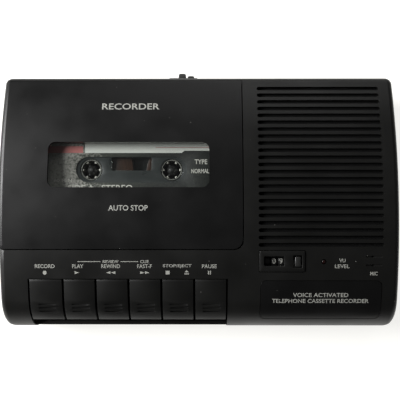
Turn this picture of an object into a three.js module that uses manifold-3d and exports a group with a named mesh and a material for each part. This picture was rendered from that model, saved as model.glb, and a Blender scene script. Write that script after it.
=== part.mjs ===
// Desk-top cassette recorder: a flat, slightly domed case with a cassette door, six piano keys,
// a loudspeaker grille, a tape counter and the whole tape drive inside.
// Millimetres, +Z up, keys towards -Y. The origin lies under the centre, on the surface it stands on.

import * as THREE from 'three';
import { mergeVertices } from 'three/addons/utils/BufferGeometryUtils.js';
import Module from 'manifold-3d';

const wasm = await Module();
wasm.setup();

// ---------------------------------------------------------------- driving dimensions

const fit = 0.3; // air left between two pieces that touch
const far = 200; // reaches past the whole object

const halfWidth = 102.6;
const frontY = -69.4;
const rearY = 63.5;
const baseZ = 2; // underside of the case, on top of the feet
const topZ = 46; // highest line of the dome
const apexY = -2.35;
const domeRadius = 241.5;
const frontRadius = 20;
const rearRadius = 4;
const baseRadius = 3.4;
const edgeRadius = 3;
const frontCorner = 5.5;
const rearCorner = 5;
const wall = 2.2;
const partingZ = 18;

const doorRight = 22.6; // middle of the seam at the door's right edge
const doorFront = -27.55; // middle of the seam at its front edge
const doorSkirtZ = 33.5;
const doorCorner = 4.8;
const doorProud = 0.7; // the door wraps over the left side by this much
const seam = 0.5;
const barrelEnd = rearY - 2 * rearRadius; // front limit of the hinge barrel's sweep

const keyCount = 6;
const keyPitch = 16.87;
const recordKeyExtra = 0.75; // the first key is wider by this much
const keyGap = 1.1;
const keysLeft = -87.5;
const keysRight = keysLeft + keyCount * keyPitch + recordKeyExtra;
const keysRear = -42.55;
const keyBottom = 31.6;
const keyFront = -64.4;
const keyShaft = { y: -34, z: 27, radius: 1.2 };
const keyGroove = { count: 3, firstY: -55.95, step: 1.86, length: 8.9, width: 0.7, depth: 0.6, aside: 0.4 };

const hubSpacing = 42.5; // the compact cassette's own standard
const hubX = -35.65; // middle of the cassette
const hubY = 14.15;
const tapeEdgeY = -20.65;
const shell = { width: 100.4, depth: 63.8, top: 36.5, bottom: 27.8, thickTop: 38.15, thickBottom: 26.15 };
const shellWall = 1.2;
const headEndDepth = 14.5;

const deckZ = 19.5; // underside of the steel deck plate
const deckThickness = 1.2;
const trayTop = 25.2;
const trayBottom = 23.7;

const capstan = { x: hubX + 30.5, y: -14.45, radius: 1.1, top: 36.3 };
const flywheelRadius = 22;
const pulleyRadius = 5;
const motorAt = { x: 38, y: 46.5, radius: 12 };
const rollerRadius = 4.5;
const headTravel = 3.5;

const grille = { count: 23, rearY: 56.95, frontY: -25.15, left: 30.3, right: 94.4, height: 1.95 };
const counter = { x: 33.4, y: -33.5, z: 34.6, radius: 6.4, pitch: 3.5, width: 3.1 };
const speakerAt = { x: 64, y: 12, radius: 30 };
const volumeWheel = { x: 92, y: -10, z: 26, radius: 11, thickness: 3.5, slot: 15.6 };
const bay = { left: 37.5, right: 88.5, front: -46, rear: 14, roof: 20 };
const rearSwitch = { x: -8.6, z: 24.5, width: 16, height: 7 };
const micAt = { x: 89.2, y: -33.35 };
const ledAt = { x: 63.7, y: -33.75 };

// ---------------------------------------------------------------- solids and helpers

function solid(geometry) {
  const bare = geometry.index ? geometry.toNonIndexed() : geometry.clone();
  bare.deleteAttribute('normal');
  bare.deleteAttribute('uv');
  const merged = mergeVertices(bare, 1e-4);
  return new wasm.Manifold(new wasm.Mesh({
    numProp: 3,
    vertProperties: merged.attributes.position.array,
    triVerts: new Uint32Array(merged.index.array),
  }));
}

function toGeometry(manifold) {
  const mesh = manifold.getMesh();
  const geometry = new THREE.BufferGeometry();
  geometry.setAttribute('position', new THREE.BufferAttribute(new Float32Array(mesh.vertProperties), 3));
  geometry.setIndex(new THREE.BufferAttribute(new Uint32Array(mesh.triVerts), 1));
  geometry.computeVertexNormals();
  return geometry;
}

function box(x, y, z) {
  const geometry = new THREE.BoxGeometry(x[1] - x[0], y[1] - y[0], z[1] - z[0]);
  return solid(geometry.translate((x[0] + x[1]) / 2, (y[0] + y[1]) / 2, (z[0] + z[1]) / 2));
}

// A round bar along X or Z; at holds the two other coordinates in X, Y, Z order.
function rod(axis, radius, span, at, sides = 24) {
  const geometry = new THREE.CylinderGeometry(radius, radius, span[1] - span[0], sides);
  const middle = (span[0] + span[1]) / 2;
  if (axis === 'x') return solid(geometry.rotateZ(-Math.PI / 2).translate(middle, at[0], at[1]));
  return solid(geometry.rotateX(Math.PI / 2).translate(at[0], at[1], middle));
}

// A turned piece about the Z axis, from [radius, z] pairs that run upwards and start and end on the axis.
function turned(profile, sides = 32) {
  const points = profile.map(([radius, z]) => new THREE.Vector2(radius, z));
  return solid(new THREE.LatheGeometry(points, sides).rotateX(Math.PI / 2));
}

// A ring turned about the Z axis.
function ring(inner, outer, span, sides = 32) {
  const loop = [[inner, span[0]], [outer, span[0]], [outer, span[1]], [inner, span[1]], [inner, span[0]]];
  return turned(loop, sides);
}

function arc(x, y, radius, from, to, steps) {
  const points = [];
  for (let i = 0; i <= steps; i++) {
    const angle = from + (to - from) * i / steps;
    points.push(new THREE.Vector2(x + radius * Math.cos(angle), y + radius * Math.sin(angle)));
  }
  return points;
}

function extrude(points, depth, options = {}) {
  const settings = { depth, bevelEnabled: false, ...options };
  return new THREE.ExtrudeGeometry(new THREE.Shape(points), settings);
}

// An upright prism over a rectangle in plan; corners holds the radii front left, front right, rear right, rear left.
function plate(x, y, z, corners = [0, 0, 0, 0], steps = 4) {
  const centres = [
    [x[0] + corners[0], y[0] + corners[0], Math.PI],
    [x[1] - corners[1], y[0] + corners[1], Math.PI * 1.5],
    [x[1] - corners[2], y[1] - corners[2], 0],
    [x[0] + corners[3], y[1] - corners[3], Math.PI / 2],
  ];
  const points = centres.flatMap(([cx, cy, start], i) => {
    if (corners[i] === 0) return [new THREE.Vector2(cx, cy)];
    return arc(cx, cy, corners[i], start, start + Math.PI / 2, steps);
  });
  return solid(extrude(points, z[1] - z[0]).translate(0, 0, z[0]));
}

// A profile drawn in the Y-Z plane and drawn out along X.
function along(points, x, options = {}) {
  const turn = new THREE.Matrix4().makeBasis(
    new THREE.Vector3(0, 1, 0), new THREE.Vector3(0, 0, 1), new THREE.Vector3(1, 0, 0));
  return solid(extrude(points, x[1] - x[0], options).applyMatrix4(turn).translate(x[0], 0, 0));
}

const finishes = {
  black: ['#262624', 0.55, 0],
  key: ['#222220', 0.6, 0],
  dark: ['#161615', 0.6, 0],
  clear: ['#5a5f60', 0.1, 0],
  steel: ['#9a9b9a', 0.35, 1],
  brass: ['#b39655', 0.35, 1],
  rubber: ['#1b1b1b', 0.9, 0],
  ivory: ['#c9c6b8', 0.5, 0],
  tape: ['#3a2a20', 0.3, 0],
  label: ['#8a8982', 0.7, 0],
  smoke: ['#2c2f2d', 0.35, 0],
  board: ['#3d5a36', 0.6, 0],
  red: ['#5a0f0f', 0.25, 0],
};

function part(name, shape, finish, place = [0, 0, 0]) {
  const [color, roughness, metalness] = finishes[finish];
  const mesh = new THREE.Mesh(toGeometry(shape), new THREE.MeshStandardMaterial({ color, roughness, metalness }));
  mesh.name = name;
  mesh.position.set(...place);
  return mesh;
}

// ---------------------------------------------------------------- outer form of the case

// Centres of the arcs that round the dome into the front and rear faces.
function arcCentre(y, radius) {
  const reach = domeRadius - radius;
  const z = topZ - domeRadius + Math.sqrt(reach ** 2 - (y - apexY) ** 2);
  return { y, z, radius };
}
const frontArc = arcCentre(frontY + frontRadius, frontRadius);
const hinge = arcCentre(rearY - rearRadius, rearRadius); // also the axis that the door turns on

function directionFromDome(arcAt) {
  return Math.atan2(arcAt.z - (topZ - domeRadius), arcAt.y - apexY);
}

// Height of the outer skin above a line across the case.
function skinZ(y) {
  if (y < frontArc.y) return frontArc.z + Math.sqrt(frontRadius ** 2 - (y - frontArc.y) ** 2);
  return topZ - domeRadius + Math.sqrt(domeRadius ** 2 - (y - apexY) ** 2);
}

// The side view of the case, everywhere the same distance inside its skin.
function sideProfile(inset) {
  const low = baseZ + inset;
  const foot = baseRadius - inset;
  const front = frontY + inset;
  const rear = rearY - inset;
  return [
    ...arc(front + foot, low + foot, foot, Math.PI, Math.PI * 1.5, 2),
    ...arc(rear - foot, low + foot, foot, -Math.PI / 2, 0, 2),
    ...arc(hinge.y, hinge.z, rearRadius - inset, 0, directionFromDome(hinge), 5),
    ...arc(apexY, topZ - domeRadius, domeRadius - inset, directionFromDome(hinge), directionFromDome(frontArc), 12)
      .slice(1, -1),
    ...arc(frontArc.y, frontArc.z, frontRadius - inset, directionFromDome(frontArc), Math.PI, 8),
  ];
}

// The whole case as one solid block, its skin moved in by inset. Its side edges are rounded.
function caseBlock(inset, width = halfWidth) {
  const edge = Math.max(edgeRadius - inset, 0.6);
  const side = width - inset;
  const bevel = { bevelEnabled: true, bevelThickness: edge, bevelSize: edge, bevelOffset: -edge, bevelSegments: 3 };
  const block = along(sideProfile(inset), [-side + edge, side - edge], bevel);
  const front = frontCorner - inset;
  const rear = rearCorner - inset;
  const plan = plate([-side, side], [frontY + inset, rearY - inset], [0, 2 * topZ], [front, front, rear, rear], 4);
  return block.intersect(plan);
}

const outerBlock = caseBlock(0);
const innerBlock = caseBlock(wall);

// The part of the skin between two depths, over one outline.
function skinPiece(outline, outer, inner) {
  return caseBlock(outer).intersect(outline).subtract(caseBlock(inner));
}

// ---------------------------------------------------------------- case

// Space that the door needs in the top housing: its own plan, and the hinge barrel's sweep behind it.
function doorOpening() {
  const right = doorRight + seam / 2;
  const front = doorFront - seam / 2;
  const lid = plate([-far, right], [front, far], [doorSkirtZ - fit, far], [0, doorCorner, 0, 0]);
  const barrel = box([-far, right], [barrelEnd - fit, far], [hinge.z - rearRadius - 0.4, far]);
  return lid.add(barrel);
}

function keyRecess() {
  const x = [keysLeft - fit, keysRight + fit];
  const open = box(x, [-far, keysRear], [keyShaft.z, far]);
  const setBack = box(x, [-far, frontY + 1.2], [partingZ, far]);
  return open.add(setBack);
}

function grilleSlots() {
  const { count, left, right, height } = grille;
  const pitch = (grille.rearY - grille.frontY) / (count - 1);
  const round = height / 2;
  let slots = null;
  for (let i = 0; i < count; i++) {
    const y = grille.rearY - pitch * i;
    const slot = plate([left, right], [y - round, y + round], [hinge.z, far], [round, round, round, round], 2);
    slots = slots ? slots.add(slot) : slot;
  }
  return slots;
}

const bezelOutline = { x: [30.8, 54], y: [-38.85, -28.15] };
const nameplateOutline = { x: [31.7, 93.5], y: [-63.75, -43.65] };
const nameplateDepth = 0.8;

function roundedPrism(outline, grow, radius) {
  const x = [outline.x[0] - grow, outline.x[1] + grow];
  const y = [outline.y[0] - grow, outline.y[1] + grow];
  return plate(x, y, [partingZ, far], [radius, radius, radius, radius], 3);
}

function controlOpenings() {
  const bezel = roundedPrism(bezelOutline, fit, 0.6);
  const lamp = rod('z', 1.35, [30, far], [ledAt.x, ledAt.y], 16);
  const inlay = roundedPrism(nameplateOutline, fit, 2.6).subtract(caseBlock(nameplateDepth + fit));
  return bezel.add(lamp).add(inlay);
}

function microphoneOpenings() {
  let cuts = null;
  for (const y of [micAt.y + 2.2, micAt.y - 2.2]) {
    const groove = box([micAt.x - 4.1, micAt.x + 4.1], [y - 0.4, y + 0.4], [30, far]).subtract(caseBlock(0.6));
    const hole = rod('z', 0.6, [30, far], [micAt.x - 0.6, y], 8);
    cuts = cuts ? cuts.add(groove) : groove;
    cuts = cuts.add(hole);
  }
  return cuts;
}

const sideJacks = { dc: { y: 46, z: 13, size: 9 }, ear: { y: 34, z: 13, size: 7 }, mic: { y: 23, z: 13, size: 7 } };
const lineJacks = { left: 64, right: 80, z: 14.6, width: 14, height: 12.4, depth: 14 };

function wallOpenings() {
  const wheelSlot = box(
    [halfWidth - 2 * wall, far],
    [volumeWheel.y - volumeWheel.slot / 2, volumeWheel.y + volumeWheel.slot / 2],
    [volumeWheel.z - 0.5, volumeWheel.z + volumeWheel.thickness + 0.5]);
  const switchHole = box([rearSwitch.x - 6.5, rearSwitch.x + 6.5], [rearY - 2 * wall, far],
    [rearSwitch.z - 2.6, rearSwitch.z + 2.6]);
  let cuts = wheelSlot.add(switchHole);
  for (const jack of Object.values(sideJacks)) {
    cuts = cuts.add(rod('x', jack.size / 2 - 0.3, [halfWidth - 2 * wall, far], [jack.y, jack.z], 20));
  }
  for (const x of [lineJacks.left, lineJacks.right]) {
    const half = lineJacks.width / 2 - 1.2;
    cuts = cuts.add(box([x - half, x + half], [rearY - 2 * wall, far], [lineJacks.z - 5, lineJacks.z + 5]));
  }
  return cuts;
}

const screwPosts = [[-95.4, -56], [-95.4, 46], [95.4, -56], [95.4, 56.6]];

function screwPost([x, y]) {
  const side = Math.sign(x);
  const reach = side > 0 ? [x, halfWidth - 1] : [1 - halfWidth, x];
  const web = box(reach, [y - 1.2, y + 1.2], [partingZ + 0.2, 32]);
  const post = rod('z', 3.4, [partingZ + 0.2, 32], [x, y], 16).add(web);
  return post.subtract(rod('z', 1.1, [0, 30], [x, y], 12)).intersect(outerBlock);
}

// Two ears stand up from the rear wall inside the door and hold the hinge pin.
const earSpans = [[-94, -91], [13, 16]];

function hingeEar(x) {
  const reach = 1.8;
  const post = box(x, [hinge.y - reach, hinge.y + reach], [24, hinge.z]);
  const foot = box(x, [hinge.y - reach, rearY - 1], [24, 28]);
  const eye = rod('x', reach, x, [hinge.y, hinge.z], 20);
  return post.add(foot).add(eye).subtract(rod('x', 1.2, x, [hinge.y, hinge.z], 16));
}

// A shoulder of the case closes the left end of the seam in front of the door, which is cut back over it.
const shoulder = { right: -halfWidth + 3, rear: doorFront + 1.35, top: 42.3 };

// Walls that hang from the roof round the door opening.
function openingRims() {
  const right = doorRight + seam / 2;
  const front = doorFront - seam / 2;
  const sideRim = box([right, right + 1.6], [front - 1.6, far], [partingZ + 0.2, far]);
  const frontRim = plate([-far, right + 1.6], [front - 1.6, far], [39, far], [0, doorCorner + 1.6, 0, 0])
    .subtract(plate([-far, right], [front, far], [0, far], [0, doorCorner, 0, 0]));
  return sideRim.add(frontRim).intersect(caseBlock(1));
}

function topHousing() {
  let housing = outerBlock.subtract(innerBlock).intersect(box([-far, far], [-far, far], [partingZ, far]));
  housing = housing.add(openingRims());
  for (const place of screwPosts) housing = housing.add(screwPost(place));
  housing = housing.subtract(doorOpening());
  const { right, rear, top } = shoulder;
  housing = housing.add(box([-far, right], [doorFront - 0.75, rear], [partingZ + 6, top]).intersect(outerBlock));
  for (const span of earSpans) housing = housing.add(hingeEar(span));
  const pinSeat = rod('x', 1.2, [doorRight, doorRight + 1.6], [hinge.y, hinge.z], 16);
  return housing
    .subtract(pinSeat)
    .subtract(keyRecess())
    .subtract(grilleSlots())
    .subtract(controlOpenings())
    .subtract(microphoneOpenings())
    .subtract(wallOpenings().intersect(box([-far, far], [-far, far], [partingZ - 1, far])));
}

const footPlaces = [[-84, -54], [-84, 50], [84, -54], [84, 50]];
const coverSpan = { x: [35.5, halfWidth], y: [bay.front + 1, bay.rear - 1], z: [baseZ, baseZ + wall] };

// The four pillars that carry the deck plate.
const deckPillars = [[-84, -20], [-84, 38], [16, 40], [19.5, -33]];

function bottomHousing() {
  const gap = 0.2;
  let tub = outerBlock.subtract(innerBlock).intersect(box([-far, far], [-far, far], [0, partingZ - gap]));
  const bayWall = 1.2;
  const bayBlock = box([bay.left - bayWall, bay.right + bayWall], [bay.front - bayWall, bay.rear + bayWall],
    [baseZ + 1, bay.roof + bayWall]);
  tub = tub.add(bayBlock.subtract(box([bay.left, bay.right], [bay.front, bay.rear], [0, bay.roof])));
  for (const place of deckPillars) tub = tub.add(rod('z', 2.6, [baseZ + 1, deckZ - fit], place, 14));
  for (const [x, y] of screwPosts) {
    tub = tub.add(rod('z', 3.4, [baseZ + 1, partingZ - gap], [x, y], 16).intersect(outerBlock));
    tub = tub.subtract(rod('z', 1.6, [0, far], [x, y], 12)).subtract(rod('z', 2.4, [0, baseZ + 4], [x, y], 14));
  }
  for (const place of footPlaces) tub = tub.subtract(rod('z', 2.3, [0, far], place, 12));
  const { x, y } = coverSpan;
  const coverHole = box([x[0] - fit, far], [y[0] - fit, y[1] + fit], [0, baseZ + wall + fit]);
  return tub
    .subtract(coverHole)
    .subtract(wallOpenings().intersect(box([-far, far], [-far, far], [0, partingZ + 1])));
}

// A flat lid that slides out sideways, with three finger grooves.
function batteryDoor() {
  const { x, y, z } = coverSpan;
  let lid = box(x, y, z);
  const groove = { count: 3, left: 84, step: 3, width: 1.2, depth: 0.6 };
  for (let i = 0; i < groove.count; i++) {
    const left = groove.left + groove.step * i;
    lid = lid.subtract(box([left, left + groove.width], [-26, -6], [0, baseZ + groove.depth]));
  }
  return lid.intersect(outerBlock);
}

function foot() {
  return turned([[0, 0], [6, 0], [6.5, 0.5], [6.5, baseZ - fit], [2, baseZ - fit], [2, 4], [0, 4]], 14);
}

function caseGroup() {
  const group = new THREE.Group();
  group.add(part('top_housing', topHousing(), 'black'));
  group.add(part('bottom_housing', bottomHousing(), 'black'));
  group.add(part('battery_door', batteryDoor(), 'black'));
  footPlaces.forEach(([x, y], i) => group.add(part(`foot_${i + 1}`, foot(), 'rubber', [x, y, 0])));
  return group;
}

// ---------------------------------------------------------------- cassette door

const windowOutline = { x: [-77.5, 5], y: [4.45, 27.55], radius: 3.4 };

function windowPrism(grow) {
  const { x, y, radius } = windowOutline;
  const corner = radius + grow;
  const corners = [corner, corner, corner, corner];
  return plate([x[0] - grow, x[1] + grow], [y[0] - grow, y[1] + grow], [30, far], corners, 5);
}

function doorPlan(shrink, low) {
  const right = doorRight - seam / 2 - shrink;
  const front = doorFront + seam / 2 + shrink;
  return plate([-far, right], [front, far], [low, far], [0, doorCorner - shrink, 0, 0]);
}

function cassetteDoor() {
  const width = halfWidth + doorProud;
  const lip = { wide: 1.8, deep: 3.4 };
  const block = caseBlock(0, width);
  const inside = caseBlock(wall, width);
  const skin = block.intersect(doorPlan(0, doorSkirtZ));
  const hollow = inside.intersect(doorPlan(lip.wide, 0));
  const behindSkirt = [-width + wall + 0.3, far];
  const underLip = inside.translate(0, 0, -lip.deep)
    .intersect(box(behindSkirt, [-far, hinge.y - rearRadius], [0, far]))
    .add(box(behindSkirt, [hinge.y - rearRadius, far], [0, hinge.z]));
  let door = skin.subtract(hollow).subtract(underLip);
  const barrel = rod('x', rearRadius, [-width, doorRight + seam / 2 - 0.2], [hinge.y, hinge.z], 28);
  door = door.add(barrel.intersect(block));
  for (const [low, high] of earSpans) {
    const x = [low - 0.4, high + 0.4];
    door = door.subtract(rod('x', rearRadius - 1, x, [hinge.y, hinge.z], 16));
    door = door.subtract(box(x, [hinge.y - rearRadius - 1, far], [0, hinge.z]));
  }
  return door
    .subtract(rod('x', 1.2, [-98.2, far], [hinge.y, hinge.z], 16))
    .subtract(box([-far, shoulder.right + fit], [-far, shoulder.rear + fit], [0, shoulder.top + fit]))
    .subtract(windowPrism(0.25));
}

function doorWindow() {
  return skinPiece(windowPrism(0), 0.25, 1.9);
}

const guideGap = 0.5; // between the cassette and the rails that carry it

// An angled rail under the door: the cassette's edge slides in over its lip.
function doorGuide(side) {
  const edge = shell.width / 2 + guideGap;
  const x = hubX + side * edge;
  const wallX = side > 0 ? [x, x + 1.6] : [x - 1.6, x];
  const lipX = side > 0 ? [x - 3, x + 1.6] : [x - 1.6, x + 3];
  const y = [2, 42];
  const rail = box(wallX, y, [25.9, far]).intersect(caseBlock(wall + fit));
  return rail.add(box(lipX, y, [25.9, shell.bottom - fit]));
}

function hingePin() {
  return rod('x', 0.9, [-98, doorRight + 1.6], [hinge.y, hinge.z], 16);
}

function doorGroup() {
  const group = new THREE.Group();
  group.add(part('cassette_door', cassetteDoor(), 'black'));
  group.add(part('door_window', doorWindow(), 'clear'));
  group.add(part('door_guide_left', doorGuide(-1), 'steel'));
  group.add(part('door_guide_right', doorGuide(1), 'steel'));
  group.add(part('door_hinge_pin', hingePin(), 'steel'));
  return group;
}

// ---------------------------------------------------------------- cassette

const hubPlaces = { supply: hubX - hubSpacing / 2, takeup: hubX + hubSpacing / 2 };
const shellX = [hubX - shell.width / 2, hubX + shell.width / 2];
const shellY = [tapeEdgeY, tapeEdgeY + shell.depth];
const openTop = 35.6; // the notches in the head end stop under the top wall

function shellNotch(x, half, depth) {
  return box([x - half, x + half], [tapeEdgeY - 1, tapeEdgeY + depth], [0, shell.thickTop - 1.5]);
}

function cassetteShell() {
  const corner = [1, 1, 3, 3];
  const body = plate(shellX, shellY, [shell.bottom, shell.top], corner, 3);
  const headEnd = plate([shellX[0] + 12, shellX[1] - 12], [tapeEdgeY, tapeEdgeY + headEndDepth],
    [shell.thickBottom, shell.thickTop]);
  const cavity = plate([shellX[0] + shellWall, shellX[1] - shellWall],
    [tapeEdgeY + 9.4, shellY[1] - shellWall],
    [shell.bottom + shellWall, shell.top - shellWall], [0, 0, 2, 2], 2);
  let cassette = body.add(headEnd).subtract(cavity);
  for (const x of Object.values(hubPlaces)) {
    cassette = cassette.subtract(rod('z', 5.9, [20, 50], [x, hubY], 20));
  }
  cassette = cassette.subtract(shellNotch(hubX, 8.5, 6.4));
  cassette = cassette.subtract(shellNotch(hubX - 17.5, 4.5, 5.5));
  cassette = cassette.subtract(shellNotch(hubX + 17.5, 4.5, 5.5));
  for (const side of [-1, 1]) {
    cassette = cassette.subtract(shellNotch(hubX + side * 30.5, 5.8, 8));
    cassette = cassette.subtract(rod('z', 2.6, [openTop, 50], [hubX + side * 30.5, capstan.y], 14));
  }
  const view = { x: [hubX - 10.6, hubX + 10.6], y: [13.75, 20.65] };
  return cassette.subtract(plate(view.x, view.y, [shell.top - 2, 50], [0.8, 0.8, 0.8, 0.8], 2));
}

function cassetteLabel() {
  const sheet = plate([shellX[0] + 5, shellX[1] - 5], [-3, shellY[1] - 2], [shell.top + fit, shell.top + fit + 0.3],
    [1, 1, 2, 2], 3);
  const half = hubSpacing / 2 + 8;
  const round = 6.8;
  const capsule = plate([hubX - half, hubX + half], [hubY - round, hubY + round], [30, 50],
    [round, round, round, round], 6);
  const headEnd = box([shellX[0] + 11, shellX[1] - 11], [-far, tapeEdgeY + headEndDepth + 1], [30, 50]);
  return sheet.subtract(capsule).subtract(headEnd);
}

// A reel hub: a ring that carries the tape, a neck that fills the hole in the shell, and six teeth inside.
function reelHub() {
  let hub = ring(4.9, 10.8, [30.3, 34.1], 24).add(ring(4.9, 5.5, [28.4, 36], 24));
  for (let i = 0; i < 6; i++) {
    const angle = i * Math.PI / 3;
    const tooth = new THREE.BoxGeometry(1.4, 1.1, 6.8).translate(4.7, 0, 32.2).rotateZ(angle);
    hub = hub.add(solid(tooth));
  }
  return hub;
}

function tapePack(radius) {
  return ring(10.8 + fit, radius, [30.5, 33.9], 28);
}

function cassetteGroup() {
  const group = new THREE.Group();
  group.add(part('cassette_shell', cassetteShell(), 'smoke'));
  group.add(part('cassette_label', cassetteLabel(), 'label'));
  const packs = { supply: 22, takeup: 13.5 };
  for (const [side, x] of Object.entries(hubPlaces)) {
    group.add(part(`${side}_hub`, reelHub(), 'ivory', [x, hubY, 0]));
    group.add(part(`${side}_tape_pack`, tapePack(packs[side]), 'tape', [x, hubY, 0]));
  }
  return group;
}

// ---------------------------------------------------------------- deck and tape drive

// A shallow tray under the cassette, with holes for the spindles, the capstan and the heads.
function cassetteWell() {
  const x = [-91.3, doorRight + seam / 2 - fit];
  const y = [doorFront - 1.2, 53.4];
  const edge = 1.4;
  let tray = box(x, y, [trayBottom, 32.6]).subtract(
    box([x[0] + edge, x[1] - edge], [y[0] + edge, y[1] - edge], [trayTop, 50]));
  for (const hub of Object.values(hubPlaces)) {
    tray = tray.subtract(rod('z', 5.6, [20, 30], [hub, hubY], 24));
  }
  tray = tray.subtract(rod('z', 3, [20, 30], [capstan.x, capstan.y], 16));
  return tray.subtract(box([-70, 6], [y[0] - 1, -17], [20, 50]));
}

function deckChassis() {
  const z = [deckZ, deckZ + deckThickness];
  let deck = box([-90.5, 22.6], [-37.6, 50], z);
  for (const x of [[-90.5, -89.3], [17.6, 18.8]]) {
    const ear = box(x, [keyShaft.y - 3.6, keyShaft.y + 3.6], [deckZ, keyShaft.z + 3]);
    deck = deck.add(ear.subtract(rod('x', keyShaft.radius + fit, x, [keyShaft.y, keyShaft.z], 16)));
  }
  for (const x of Object.values(hubPlaces)) deck = deck.subtract(rod('z', 2.2, [0, far], [x, hubY], 16));
  return deck.subtract(rod('z', 2, [0, far], [capstan.x, capstan.y], 16));
}

// A reel spindle: table, stem, and a core with three fins that turns the reel hub.
function spindle() {
  const core = turned([[0, 16.5], [1.6, 16.5], [1.6, 21.2], [9, 21.2], [9, 22.9], [4.4, 23.4], [4.4, 27.5],
    [2.5, 29], [2.5, 34.2], [0.8, 35.8], [0, 35.8]], 18);
  let whole = core;
  for (let i = 0; i < 3; i++) {
    const fin = new THREE.BoxGeometry(1.2, 0.9, 6).translate(2.8, 0, 30.8).rotateZ(i * Math.PI * 2 / 3);
    whole = whole.add(solid(fin));
  }
  return whole;
}

function flywheel() {
  return turned([[0, 6], [2.5, 6], [2.5, 8], [flywheelRadius, 8], [flywheelRadius, 13], [flywheelRadius - 3, 13],
    [flywheelRadius - 3, 10.5], [5, 10.5], [5, 16], [capstan.radius, 17], [capstan.radius, capstan.top - 0.4],
    [0.7, capstan.top], [0, capstan.top]], 28);
}

// A flat belt round the flywheel and the motor pulley: straight runs tangent to both.
function driveBelt() {
  const span = new THREE.Vector2(motorAt.x - capstan.x, motorAt.y - capstan.y);
  const heading = span.angle();
  const loop = (grow) => {
    const large = flywheelRadius + fit + grow;
    const small = pulleyRadius + fit + grow;
    const lean = Math.acos((large - small) / span.length());
    return [
      ...arc(capstan.x, capstan.y, large, heading + lean, heading + 2 * Math.PI - lean, 20),
      ...arc(motorAt.x, motorAt.y, small, heading - lean, heading + lean, 8),
    ];
  };
  const z = [9.4, 11.6];
  const outside = solid(extrude(loop(1), z[1] - z[0]).translate(0, 0, z[0]));
  return outside.subtract(solid(extrude(loop(0), 10).translate(0, 0, 5)));
}

function motor() {
  const { radius } = motorAt;
  return turned([[0, 15], [3.5, 15], [3.5, 16.2], [radius - 1, 16.2], [radius, 17.2], [radius, 34],
    [radius - 1, 35], [0, 35]], 24);
}

function motorPulley() {
  return turned([[0, 7.6], [pulleyRadius + 1, 7.6], [pulleyRadius + 1, 8.6], [pulleyRadius, 9], [pulleyRadius, 12],
    [pulleyRadius + 1, 12.4], [pulleyRadius + 1, 13.4], [1.5, 13.4], [1.5, 14.6], [0, 14.6]], 18);
}

// The steel slide that carries the heads towards the tape, with two slots for its guide pins.
function headSlide() {
  const sheet = box([-62, 6], [-36, -20.2], [21.5, 22.6]);
  return sheet.subtract(box([-50, -46], [-33, -24], [20, 24])).subtract(box([-22, -18], [-33, -24], [20, 24]));
}

const headRest = tapeEdgeY - 1; // front of the heads while the deck is stopped

function playHead() {
  const half = 6.3;
  const x = [hubX - half, hubX + half];
  const face = plate(x, [headRest - 8.6, headRest], [27.6, 36.2], [0, 0, 2.6, 2.6], 4);
  const post = box([hubX - 4, hubX + 4], [headRest - 8, headRest - 2], [23, 28]);
  const lug = box([hubX - 8.5, hubX + 8.5], [headRest - 7, headRest - 3], [22.9, 24]);
  return face.add(post).add(lug);
}

function eraseHead() {
  const x = hubX - 17.5;
  const face = plate([x - 3, x + 3], [headRest - 5.5, headRest - 0.4], [28.4, 35], [0, 0, 1.6, 1.6], 3);
  return face.add(box([x - 2, x + 2], [headRest - 5, headRest - 1.5], [22.9, 29]));
}

const rollerY = capstan.y - capstan.radius - 0.4 - rollerRadius - headTravel;

function pinchArm() {
  const arm = plate([capstan.x - 8, capstan.x + 4], [rollerY - 4, rollerY + 3], [22.9, 24.1], [2, 3, 3, 2], 3);
  return arm.add(rod('z', 1, [23.5, 36.2], [capstan.x, rollerY], 14));
}

function pinchRoller() {
  return ring(1.3, rollerRadius, [27.2, 35.8], 20);
}

function driveGroup() {
  const group = new THREE.Group();
  group.add(part('cassette_well', cassetteWell(), 'dark'));
  group.add(part('deck_chassis', deckChassis(), 'steel'));
  for (const [side, x] of Object.entries(hubPlaces)) {
    group.add(part(`${side}_spindle`, spindle(), 'dark', [x, hubY, 0]));
  }
  group.add(part('capstan_flywheel', flywheel(), 'steel', [capstan.x, capstan.y, 0]));
  group.add(part('drive_belt', driveBelt(), 'rubber'));
  group.add(part('motor', motor(), 'steel', [motorAt.x, motorAt.y, 0]));
  group.add(part('motor_pulley', motorPulley(), 'brass', [motorAt.x, motorAt.y, 0]));
  group.add(part('head_slide', headSlide(), 'steel'));
  group.add(part('record_play_head', playHead(), 'steel'));
  group.add(part('erase_head', eraseHead(), 'dark'));
  group.add(part('pinch_arm', pinchArm(), 'steel'));
  group.add(part('pinch_roller', pinchRoller(), 'rubber', [capstan.x, rollerY, 0]));
  return group;
}

// ---------------------------------------------------------------- keys

const keyNames = ['record', 'play', 'rewind', 'fast_forward', 'stop_eject', 'pause'];
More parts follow.
